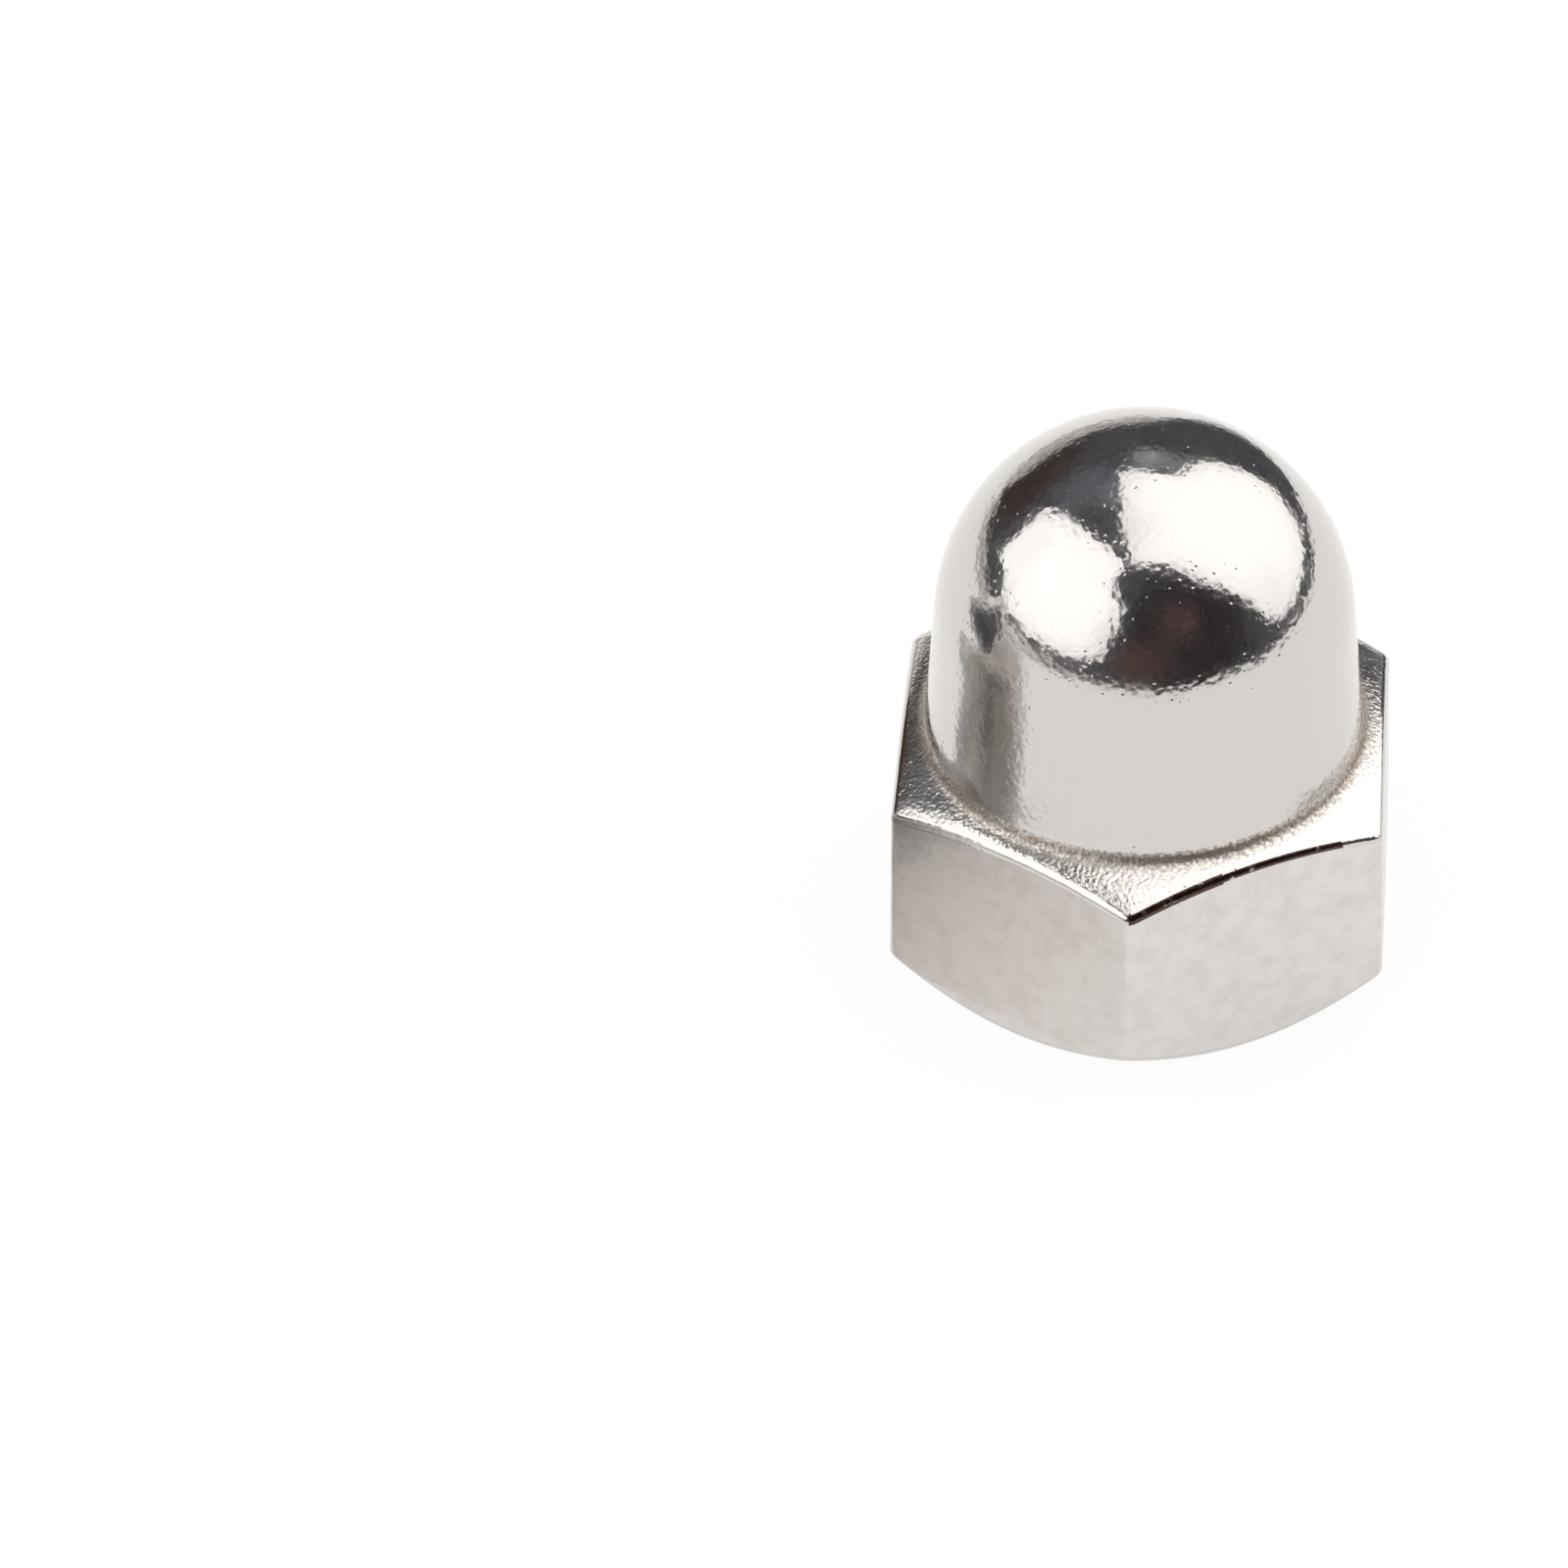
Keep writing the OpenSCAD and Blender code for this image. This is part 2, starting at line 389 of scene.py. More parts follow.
rings = [ring(row) for row in outside]
cap(TOTAL_H, rings[0], POLISHED, True)
outside_finish = (
    [POLISHED] * (len(dome) - 1 + NECK_STEPS) + [FORGED] * (len(neck_fillet) - 1 + SLOPE_STEPS)
    + [POLISHED] * (len(shoulder_edge) - 1) + [FLAT] * FLAT_STEPS
    + [POLISHED] * (len(outside) - 1))
edge_start = slope_start + SLOPE_STEPS
for k, (upper, lower) in enumerate(zip(rings, rings[1:])):
    first_face = len(faces)
    sew(upper, lower, outside_finish[k])
    # Faces along the edge over one flat that get the painted dark reflection.
    for c in reflection_columns:
        from_corner = (c - reflection_columns[0]) / len(reflection_columns)
        if 0 <= k - edge_start - REFLECTION_TOP_ROW * from_corner < REFLECTION_ROWS - REFLECTION_THINNING * from_corner:
            finish_of_face[first_face + c] = PAINTED_EDGE_REFLECTION
print("outside:", len(faces), "faces, of which seam:", finish_of_face.count(PAINTED_EDGE_REFLECTION))

# %% [markdown]
# Sewing the mouth
#
# The bearing face and the recess are turned, and the lip between them is polished.

# %% Sew the mouth
face_rings = [rings[-1]] + [ring(row) for row in face_run]
mouth_rings = [ring(row) for row in mouth]
for upper, lower in zip(face_rings, face_rings[1:] + [mouth_rings[0]]):
    sew(upper, lower, TURNED)
for k, (upper, lower) in enumerate(zip(mouth_rings, mouth_rings[1:])):
    sew(upper, lower, POLISHED if k < len(lip) - 1 else TURNED)
print("with the mouth:", len(faces), "faces")

# %% [markdown]
# Sewing the thread
#
# A row that is held at an end of the thread uses that end's ring. After the last column, a row goes
# on as the row one turn further along, at the first column.

# %% Sew the thread
start_ring = mouth_rings[-1]
end_ring = ring(thread_end[0])


def on_thread(r, z, c):
    """Number of the thread's vertex in column c, or of the end ring's where the row is held there."""
    if z <= RECESS_DEPTH:
        return start_ring[c]
    if z >= THREAD_END:
        return end_ring[c]
    return vertex(r, z, theta[c])


number = np.array([[on_thread(*point, c) for c, point in enumerate(row)] for row in climb])
for j in range(thread_rows):
    for c in range(COLUMNS):
        if c + 1 < COLUMNS:
            right = number[j, c + 1], number[j + 1, c + 1]
        else:
            right = [number[min(row + TURN_ROWS, thread_rows), 0] for row in (j, j + 1)]
        add_face([number[j, c], number[j + 1, c], right[1], right[0]], TAPPED)
print("with the thread:", len(faces), "faces")

# %% [markdown]
# Closing the hole
#
# Past the thread, level rings lead down the drill's cone, and a fan closes its tip.

# %% Sew the bottom of the hole
inside_rings = [end_ring] + [ring(row) for row in inside]
for upper, lower in zip(inside_rings, inside_rings[1:]):
    sew(upper, lower, TAPPED)
cap(point_z, inside_rings[-1], TAPPED, False)
print(len(vertices), "vertices and", len(faces), "faces")

# %% [markdown]
# From numbers to an object
#
# The mesh is handed to Blender with a finish number on each face. Faces that meet at a steep angle,
# such as a thread's flank and crest, keep a crisp edge; everything else shades smoothly. The
# weighted normal modifier lets the wide flats decide the shading where they meet a narrow polished
# edge, so that they stay optically flat.

# %% Make the nut's object
CREASE_ANGLE = 33

mesh = bpy.data.meshes.new("cap_nut_skin")
mesh.from_pydata(vertices, [], faces)
mesh.polygons.foreach_set("material_index", finish_of_face)
mesh.polygons.foreach_set("use_smooth", [True] * len(mesh.polygons))
mesh.validate()
mesh.set_sharp_from_angle(angle=np.radians(CREASE_ANGLE))
nut = bpy.data.objects.new("cap_nut_skin", mesh)
bpy.context.scene.collection.objects.link(nut)
weighted = nut.modifiers.new("flats stay flat", "WEIGHTED_NORMAL")
weighted.keep_sharp = True
print("skin", mesh.name, len(mesh.polygons), "faces")

# %% [markdown]
# One helper for materials
#
# A material is a small graph. One function adds a node, sets its properties, and fills its sockets
# with a value or with a link. Colours are written as on screen, in hex, and turned to linear light.

# %% Helpers for materials
def linear(hex_colour):
    srgb = np.array([int(hex_colour[i:i + 2], 16) for i in (0, 2, 4)]) / 255
    light = np.where(srgb <= 0.04045, srgb / 12.92, ((srgb + 0.055) / 1.055) ** 2.4)
    return (*light.tolist(), 1.0)


def add(tree, kind, sockets=None, **settings):
    """Adds a node; a socket is filled with a plain value, or linked if the value is another socket."""
    node = tree.nodes.new(kind)
    for name, value in settings.items():
        setattr(node, name, value)
    for name, value in (sockets or {}).items():
        if isinstance(value, bpy.types.NodeSocket):
            tree.links.new(value, node.inputs[name])
        else:
            node.inputs[name].default_value = value
    return node


def new_material(name):
    material = bpy.data.materials.new(name)
    material.use_nodes = True
    material.node_tree.nodes.clear()
    return material, material.node_tree


def per_metre(millimetres):
    """Texture scale for a feature of this real size."""
    return 1 / (millimetres * MM)


# %% [markdown]
# Stainless steel, finished in more than one way
#
# The steel's own colour is a warm grey: white comes back from it as D1CDCA. What differs from place
# to place is how smooth it is. Tumbling and buffing leave a fine orange peel of bumps a little over
# a tenth of a millimetre apart, which makes the edges of reflections ragged, slower waves that bend
# them, and dents of uneven depth, the deepest of which glint in a dark reflection. One function
# makes such a finish from the depths of the three. The dents are the cells of a Voronoi pattern:
# each cell's random colour says how far its middle lies below its rim. Sizes and depths are in
# millimetres.

# %% A steel finish
STEEL = "D1CDCA"
HAZE_SIZE, WAVE_SIZE, PEEL_SIZE, DENT_SPACING = 0.7, 0.9, 0.17, 0.26
DENT_FLOOR, DENT_RIM = 0.03, 0.2
ROUGH_NOISE = {"Detail": 3.0, "Roughness": 0.6}


def steel_finish(name, colour, smooth, rough, peel, wave, dent, peel_size=PEEL_SIZE):
    """Steel whose roughness wanders between two values, with a peel, waves and dents this deep."""
    material, tree = new_material(name)
    place = add(tree, "ShaderNodeTexCoord").outputs["Object"]
    haze = add(tree, "ShaderNodeTexNoise", {
        "Vector": place, "Scale": per_metre(HAZE_SIZE), **ROUGH_NOISE})
    roughness = add(tree, "ShaderNodeMapRange", {
        "Value": haze.outputs["Fac"], "From Min": 0.35, "From Max": 0.7,
        "To Min": smooth, "To Max": rough})
    waves = add(tree, "ShaderNodeTexNoise", {
        "Vector": place, "Scale": per_metre(WAVE_SIZE), "Detail": 2.0, "Roughness": 0.45})
    bumps = add(tree, "ShaderNodeTexNoise", {
        "Vector": place, "Scale": per_metre(peel_size), "Detail": 0.6, "Roughness": 0.5})
    cells = add(tree, "ShaderNodeTexVoronoi", {"Vector": place, "Scale": per_metre(DENT_SPACING)})
    dents = add(tree, "ShaderNodeMapRange", {
        "Value": cells.outputs["Distance"], "From Min": DENT_FLOOR, "From Max": DENT_RIM,
        "To Min": cells.outputs["Color"]})
    normal = None
    for height, depth in ((waves.outputs["Fac"], wave), (bumps.outputs["Fac"], peel),
                          (dents.outputs["Result"], dent)):
        sockets = {"Height": height, "Distance": depth * MM, "Strength": 1.0}
        if normal is not None:
            sockets["Normal"] = normal
        normal = add(tree, "ShaderNodeBump", sockets).outputs["Normal"]
    steel = add(tree, "ShaderNodeBsdfPrincipled", {
        "Base Color": linear(colour), "Metallic": 1.0,
        "Roughness": roughness.outputs["Result"], "Normal": normal})
    add(tree, "ShaderNodeOutputMaterial", {"Surface": steel.outputs["BSDF"]})
    return material, tree, place, steel


polished = steel_finish("mirror_polished_stainless_steel", STEEL, smooth=0.09, rough=0.15,
                        peel=0.0065, wave=0.012, dent=0.0075)[0]
print("made", polished.name)

# %% [markdown]
# The shoulder
#
# The buffing wheel cannot reach the hollow corner at the foot of the neck, so the shoulder keeps
# more of the tumbled skin. A grey-brown shade is painted into the hollow itself, darker and duller
# there. In the half section the hollow is a point, and the painted shade follows the distance from
# it, with a noise that frays its rim.

# %% Tumbled steel with painted shade in the hollow
# The tumbled steel is painted lighter than the polished steel, so that the whole shoulder looks
# brighter; the second colour is the shade painted in the hollow.
TUMBLED_PAINTED_BRIGHT, HOLLOW_SHADE = "E2DDD8", "94887C"
# Reach, fray and edge of the painted shade round the hollow, and the roughness there.
HOLLOW_SHADE_REACH, HOLLOW_SHADE_FRAY, HOLLOW_SHADE_EDGE, FRAY_SIZE = 0.6, 0.9, 0.18, 0.09
HOLLOW_SHADE_ROUGHNESS = 0.55

forged, tree, place, steel = steel_finish(
    "tumbled_stainless_steel", TUMBLED_PAINTED_BRIGHT, smooth=0.17, rough=0.27,
    peel=0.018, wave=0.03, dent=0.012, peel_size=0.11)
parts = add(tree, "ShaderNodeSeparateXYZ", {"Vector": place})
flat_place = add(tree, "ShaderNodeCombineXYZ", {"X": parts.outputs["X"], "Y": parts.outputs["Y"]})
from_axis = add(tree, "ShaderNodeVectorMath", {0: flat_place.outputs["Vector"]}, operation="LENGTH")
in_section = add(tree, "ShaderNodeCombineXYZ", {
    "X": from_axis.outputs["Value"], "Y": parts.outputs["Z"]})
hollow_r, hollow_z = neck_fillet[len(neck_fillet) // 2][0] * MM
from_hollow = add(tree, "ShaderNodeVectorMath", {
    0: in_section.outputs["Vector"], 1: (hollow_r, hollow_z, 0.0)}, operation="DISTANCE")
fray = add(tree, "ShaderNodeTexNoise", {
    "Vector": place, "Scale": per_metre(FRAY_SIZE), **ROUGH_NOISE})
frayed = add(tree, "ShaderNodeMath", {
    0: fray.outputs["Fac"], 1: HOLLOW_SHADE_FRAY * MM, 2: from_hollow.outputs["Value"]},
    operation="MULTIPLY_ADD")
# The painted shade: 1 in the hollow, fading to 0 past its frayed rim.
painted_hollow_shade = add(tree, "ShaderNodeMapRange", {
    "Value": frayed.outputs[0], "From Min": (HOLLOW_SHADE_REACH - HOLLOW_SHADE_EDGE) * MM,
    "From Max": (HOLLOW_SHADE_REACH + HOLLOW_SHADE_EDGE) * MM, "To Min": 1.0, "To Max": 0.0})
tint = add(tree, "ShaderNodeMix", {
    "Factor": painted_hollow_shade.outputs["Result"], "A": linear(TUMBLED_PAINTED_BRIGHT), "B": linear(HOLLOW_SHADE)}, data_type="RGBA")
tree.links.new(tint.outputs["Result"], steel.inputs["Base Color"])
bare = steel.inputs["Roughness"].links[0].from_socket
dull = add(tree, "ShaderNodeMapRange", {
    "Value": painted_hollow_shade.outputs["Result"], "To Min": bare, "To Max": HOLLOW_SHADE_ROUGHNESS})
tree.links.new(dull.outputs["Result"], steel.inputs["Roughness"])
print("made", forged.name)

# %% [markdown]
# The flats
#
# A wrench bears on the flats, and they come out of the die flat, so they are buffed only lightly.
# They are a soft mirror with pale, cloudy patches about a millimetre wide.

# %% Lightly buffed flats
BUFFED, CLOUD = "DAD6D3", "D2CDC9"
CLOUD_SIZE = 0.6

flat_steel, tree, place, steel = steel_finish(
    "buffed_stainless_steel", BUFFED, smooth=0.15, rough=0.25, peel=0.004, wave=0.007, dent=0.001)
clouds = add(tree, "ShaderNodeTexNoise", {
    "Vector": place, "Scale": per_metre(CLOUD_SIZE), **ROUGH_NOISE})
cloudiness = add(tree, "ShaderNodeMapRange", {
    "Value": clouds.outputs["Fac"], "From Min": 0.42, "From Max": 0.66})
tint = add(tree, "ShaderNodeMix", {
    "Factor": cloudiness.outputs["Result"], "A": linear(BUFFED), "B": linear(CLOUD)}, data_type="RGBA")
tree.links.new(tint.outputs["Result"], steel.inputs["Base Color"])
print("made", flat_steel.name)

# %% [markdown]
# The painted edge reflection
#
# A dark brown reflection is painted along the edge above one flat, broad at the corner and thinner
# further on. It is the same steel painted dark brown, with a noise that lets it break up.

# %% Painted dark reflection along the edge
DARK_REFLECTION_COLOUR = "5A4641"
BREAK_SIZE = 0.35

painted_reflection, tree, place, steel = steel_finish(
    "steel_with_painted_dark_reflection", DARK_REFLECTION_COLOUR, smooth=0.2, rough=0.3, peel=0.012, wave=0.02, dent=0.004)
breaks = add(tree, "ShaderNodeTexNoise", {
    "Vector": place, "Scale": per_metre(BREAK_SIZE), "Detail": 3.0, "Roughness": 0.7})
reflection_gaps = add(tree, "ShaderNodeMapRange", {
    "Value": breaks.outputs["Fac"], "From Min": 0.58, "From Max": 0.7})
tint = add(tree, "ShaderNodeMix", {
    "Factor": reflection_gaps.outputs["Result"], "A": linear(DARK_REFLECTION_COLOUR), "B": linear(STEEL)}, data_type="RGBA")
tree.links.new(tint.outputs["Result"], steel.inputs["Base Color"])
print("made", painted_reflection.name)

# %% [markdown]
# The turned face
#
# The bearing ring and the recess are left as the lathe cut them: a satin grey with faint rings, one
# for each turn of the tool. The rings are about 0.05 mm apart on a real nut; they are drawn at 0.15
# mm so that they show. The ring pattern has 20 radians to a unit, hence its scale.

# %% Turned face
TURNED_STEEL, TURNED_ROUGHNESS = "D0CDCA", 0.34
RING_SPACING, RING_DEPTH, RADIANS_PER_UNIT = 0.15, 0.002, 20
GRAIN_SIZE, GRAIN_DEPTH = 0.09, 0.004

turned, tree = new_material("turned_stainless_steel")
place = add(tree, "ShaderNodeTexCoord").outputs["Object"]
rings_pattern = add(tree, "ShaderNodeTexWave", {
    "Vector": place, "Scale": per_metre(RING_SPACING) * 2 * np.pi / RADIANS_PER_UNIT,
    "Distortion": 0.6, "Detail": 2.0, "Detail Scale": 3.0},
    wave_type="RINGS", rings_direction="Z")
grain = add(tree, "ShaderNodeTexNoise", {
    "Vector": place, "Scale": per_metre(GRAIN_SIZE), **ROUGH_NOISE})
tool_marks = add(tree, "ShaderNodeBump", {
    "Height": rings_pattern.outputs["Fac"], "Distance": RING_DEPTH * MM, "Strength": 1.0})
satin = add(tree, "ShaderNodeBump", {
    "Height": grain.outputs["Fac"], "Distance": GRAIN_DEPTH * MM, "Strength": 1.0,
    "Normal": tool_marks.outputs["Normal"]})
steel = add(tree, "ShaderNodeBsdfPrincipled", {
    "Base Color": linear(TURNED_STEEL), "Metallic": 1.0, "Roughness": TURNED_ROUGHNESS,
    "Normal": satin.outputs["Normal"]})
add(tree, "ShaderNodeOutputMaterial", {"Surface": steel.outputs["BSDF"]})
print("made", turned.name)

# %% [markdown]
# The tapped hole
#
# A tap burnishes the thread that it cuts, so the thread is smoother than the turned face, but it
# tears the steel a little and is no mirror.

# %% Tapped hole
TAPPED_STEEL, TAPPED_ROUGHNESS = "CFCBC7", 0.16
TEAR_SIZE, TEAR_DEPTH = 0.2, 0.006

tapped, tree = new_material("tapped_stainless_steel")
place = add(tree, "ShaderNodeTexCoord").outputs["Object"]
tears = add(tree, "ShaderNodeTexNoise", {
    "Vector": place, "Scale": per_metre(TEAR_SIZE), **ROUGH_NOISE})
torn = add(tree, "ShaderNodeBump", {
    "Height": tears.outputs["Fac"], "Distance": TEAR_DEPTH * MM, "Strength": 1.0})
steel = add(tree, "ShaderNodeBsdfPrincipled", {
    "Base Color": linear(TAPPED_STEEL), "Metallic": 1.0, "Roughness": TAPPED_ROUGHNESS,
    "Normal": torn.outputs["Normal"]})
add(tree, "ShaderNodeOutputMaterial", {"Surface": steel.outputs["BSDF"]})
print("made", tapped.name)

# %% [markdown]
# Finishes in their places
#
# The finish numbers on the faces count the mesh's materials, so the order here is the order of the
# numbers. Then the skin is told which body carries it, and the imported solid is hidden.

# %% Give the nut its finishes
for material in (polished, forged, flat_steel, turned, tapped, painted_reflection):
    mesh.materials.append(material)
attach(nut, "root")
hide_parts("cap_nut")
print("finishes:", [m.name for m in mesh.materials])

# %% [markdown]
# The studio that the mirror shows
#
# A polished nut has almost no look of its own: what one sees is the room. This room is a white
# table under a white sky, with a dark ceiling overhead and two softboxes that hang in front of it.
# The cards that make them are seen in reflections only.

# %% White sky
WHITE = "FFFFFF"

world = bpy.data.worlds.new("white_sky")
bpy.context.scene.world = world
world.use_nodes = True
world.node_tree.nodes.clear()
sky = add(world.node_tree, "ShaderNodeBackground", {"Color": linear(WHITE), "Strength": 1.0})
add(world.node_tree, "ShaderNodeOutputWorld", {"Surface": sky.outputs["Background"]})
print("made", world.name)


# %% [markdown]
# Directions in the studio
#
# A direction is given in degrees: how far from straight up, and which way round, with 0 towards the
# viewer and 90 to the viewer's right. For shapes overhead a flat chart is handier: its middle is
# straight up, and a point on it says how far to the right and how far towards the viewer to tilt
# from there.

# %% Directions in the studio
def direction(off_zenith, way_round):
    """Unit vectors for directions of the studio."""
    o, w = np.radians(off_zenith), np.radians(way_round)
    return np.stack(np.broadcast_arrays(np.sin(o) * np.sin(w), -np.sin(o) * np.cos(w), np.cos(o)), -1)


def chart(right, near):
    """Direction of a point on the chart: degrees to the right, and degrees towards the viewer."""
    return direction(np.hypot(right, near), np.degrees(np.arctan2(right, near)))


def ramp(value, low, high):
    """Soft step from 0 at low to 1 at high."""
    t = np.clip((value - low) / (high - low), 0, 1)
    return t * t * (3 - 2 * t)


def near_to(directions, place, reach, softness):
    """1 within reach degrees of a place on the chart, fading to 0 outside."""
    angle = np.degrees(np.arccos(np.clip(directions @ chart(*place), -1, 1)))
    return 1 - ramp(angle, reach - softness, reach + softness)


print("viewer's side:", direction(90, 0).round(2), "right:", direction(90, 90).round(2))


# %% [markdown]
# Painted cards
#
# Each card carries its own light: a colour painted on every vertex, which the material lets glow. A
# little clutter is strewn over it, because a real ceiling is never one even tone. Where the painted
# light changes softly, the mirror shows a soft edge.

# %% Helpers for cards that only reflections see
CLUTTER_SIZE = 0.014


def glowing(name, clutter):
    """Material that glows in its card's painted colours, in places lighter or darker by a share."""
    material, tree = new_material(name)
    paint = add(tree, "ShaderNodeAttribute", attribute_name="paint")
    place = add(tree, "ShaderNodeTexCoord").outputs["Object"]
    things = add(tree, "ShaderNodeTexNoise", {
        "Vector": place, "Scale": 1 / CLUTTER_SIZE, "Detail": 4.0, "Roughness": 0.7})
    level = add(tree, "ShaderNodeMapRange", {
        "Value": things.outputs["Fac"], "From Min": 0.35, "From Max": 0.68,
        "To Min": 1 - clutter, "To Max": 1 + clutter})
    light = add(tree, "ShaderNodeEmission", {
        "Color": paint.outputs["Color"], "Strength": level.outputs["Result"]})
    add(tree, "ShaderNodeOutputMaterial", {"Surface": light.outputs["Emission"]})
    return material


def card(name, points, polygons, paint, material, lights_the_floor=False):
    """Makes a painted card that the camera doesn't see."""
    data = bpy.data.meshes.new(name)
    data.from_pydata([tuple(p) for p in points], [], polygons)
    colours = data.color_attributes.new("paint", "FLOAT_COLOR", "POINT")
    colours.data.foreach_set("color", np.asarray(paint, np.float32).ravel())
    data.materials.append(material)
    thing = bpy.data.objects.new(name, data)
    bpy.context.scene.collection.objects.link(thing)
    thing.visible_camera = False
    thing.visible_shadow = False
    thing.visible_diffuse = lights_the_floor


def disc(count, rows):
    """Triangles and quads of a disc: a middle point, then rows of so many points round it."""
    polygons = [(0, 1 + k, 1 + (k + 1) % count) for k in range(count)]
    for i in range(rows - 1):
        a = 1 + i * count
        polygons += [(a + k, a + count + k, a + count + (k + 1) % count, a + (k + 1) % count)
                     for k in range(count)]
    return polygons


room_paint = glowing("dark_room", 0.75)
softbox_cloth = glowing("softbox_cloth", 0.04)
print("made", room_paint.name, "and", softbox_cloth.name)

# %% [markdown]
# The dark ceiling
#
# It reaches down to the table all round, less far on the left and least behind on the left, where
# the white backdrop rises, and its rim fades into the pale wall. On the left the rim is ragged. The
# ceiling is a neutral dark grey with patches, each with its place on the chart, its reach and its
# fade: a large, nearly black one towards the viewer with two reddish brown ones on it, four pale
# grey ones behind, and a brown-black one far back on the left.

# %% Dark ceiling
CEILING_DISTANCE = 0.5
AROUND, DOWNWARD = 180, 92
HORIZON, BELOW_HORIZON = 91.2, 0.8
LEFT_RISE, LEFT_SPREAD = 7.5, 0.35
BACKDROP_RISE, BACKDROP_WAY = 8.0, 198.0
BACKDROP_STARTS, BACKDROP_FULL = 0.93, 0.955
RIM_FADE, BACKDROP_FADE = 1.0, 2.5
ROOM, RIM = "565559", "CFCCC9"
PATCHES = [
    ((30, 56), 34, 12, "3A3637"), ((24, 50), 9, 8, "5E4C4B"), ((1, 74), 12, 9, "5B4947"),
    ((0, -45), 6, 5, "B2B4B9"), ((11, -44), 6, 5, "8E9096"), ((-14, -22), 9, 7, "7C7F87"),
    ((-26, -30), 12, 8, "6F727A"), ((-50, -60), 20, 10, "483E3A"),
]

way = 360.0 * np.arange(AROUND) / AROUND
off = HORIZON * np.arange(1, DOWNWARD + 1) / DOWNWARD
off, way = (values.ravel() for values in np.meshgrid(off, way, indexing="ij"))
to_left = np.clip(-np.sin(np.radians(way)), 0, 1) ** LEFT_SPREAD
to_backdrop = ramp(np.cos(np.radians(way - BACKDROP_WAY)), BACKDROP_STARTS, BACKDROP_FULL)
ragged = 0.7 * np.sin(np.radians(way * 7)) + 0.5 * np.sin(np.radians(way * 17 + 40))
edge = HORIZON + BELOW_HORIZON - LEFT_RISE * to_left - BACKDROP_RISE * to_backdrop + ragged * to_left
softness = RIM_FADE + BACKDROP_FADE * to_backdrop

ceiling = direction(off, way)
paint = np.tile(linear(ROOM), (len(ceiling), 1))
for place, reach, fade, colour in PATCHES:
    paint += near_to(ceiling, place, reach, fade)[:, None] * (np.array(linear(colour)) - paint)
paint += ramp(off, edge - softness, edge + softness)[:, None] * (np.array(linear(RIM)) - paint)
middle = direction(0.0, 0.0)
card("ceiling", np.concatenate([middle[None], ceiling]) * CEILING_DISTANCE, disc(AROUND, DOWNWARD),
     np.concatenate([[linear(ROOM)], paint]), room_paint)
print("ceiling rim", edge.min().round(1), "to", edge.max().round(1), "degrees from straight up")

# %% [markdown]
# Two softboxes
#
# They hang just under the ceiling, to the right and to the left. The cloth of a softbox is
# brightest in the middle of its lamp and fades towards the rim, with a dimmer place or two, and the
# rim itself is never quite straight. The outlines are points on the chart.

# %% Two softboxes
SOFTBOX_DISTANCE = 0.45
SOFTBOX_COLOUR, SOFTBOX_LEVEL = "FDFCFB", 1.72
RIM_STEPS, CLOTH_ROWS = 5, 8
RIM_WOBBLE = 0.45
RIM_DIMMING, DIMMING_POWER = 0.2, 5
DIM_REACH, DIM_FADE = 9, 12
chance = np.random.default_rng(7)


def softbox(name, outline, dim_places):
    """Hangs a softbox with this outline, dimmed by a share at each dim place."""
    corners = np.array(outline, float)
    t = np.arange(RIM_STEPS)[:, None] / RIM_STEPS
    rim = np.concatenate([a + t * (b - a) for a, b in zip(corners, np.roll(corners, -1, axis=0))])
    rim += chance.normal(0, RIM_WOBBLE, rim.shape)
    centre = rim.mean(axis=0)
    shares = np.linspace(0, 1, CLOTH_ROWS + 1)[1:]
    places = np.concatenate([centre[None]] + [centre + (rim - centre) * s for s in shares])
    level = np.concatenate(
        [[1.0]] + [np.full(len(rim), 1 - RIM_DIMMING * s ** DIMMING_POWER) for s in shares])
    cloth = chart(places[:, 0], places[:, 1])
    for place, share in dim_places:
        level *= 1 - share * near_to(cloth, place, DIM_REACH, DIM_FADE)
    paint = np.array(linear(SOFTBOX_COLOUR)) * SOFTBOX_LEVEL * level[:, None]
    paint[:, 3] = 1.0
    card(name, cloth * SOFTBOX_DISTANCE, disc(len(rim), len(shares)), paint, softbox_cloth, True)


softbox("softbox_right", [
    (-6, 22), (14, 22), (29, 25), (57, 21), (78, 16), (82, 6), (82, -12), (78, -30), (70, -46),
    (60, -57), (46, -62), (34, -58), (20, -51), (14, -38), (8, -32), (-11, -36), (-12, -6),
    (-9, 10)], [((-4, 2), 0.14), ((68, 2), 0.12)])
softbox("softbox_left", [
    (-8, 22), (-15, 30), (-14, 38), (-11, 47), (-18, 61), (-25, 70), (-38, 68), (-52, 61), (-65, 47),
    (-75, 31), (-80, 12), (-77, -4), (-69, -14), (-58, -22), (-49, -25), (-42, -21), (-34, -8),
    (-24, 4)], [((-70, -10), 0.14), ((-22, 62), 0.18)])

# %% [markdown]
# Flags near the nut
#
# A black flag and a grey-brown one stand close on the left and give the neck its dark streak. A
# dark cloth lies on the table behind the nut and carries the dark a little past the horizon. Each
# fades to the white of the table at its rim. Their outlines are in millimetres.

# %% Flags and dark cloth
CARD_Z = 0.3


def soft_card(name, outline, colour, core=0.6, reach=1.18):
    """A card that fades to white between two shares of its outline, which is in millimetres."""
    rim = np.array(outline, float)
    middle = rim.mean(axis=0)
    outward = rim - middle
    points = np.concatenate([[middle], middle + outward * core, middle + outward * reach])
    paint = [linear(colour)] * (1 + len(rim)) + [linear(WHITE)] * len(rim)
    card(name, points * MM, disc(len(rim), 2), paint, room_paint)


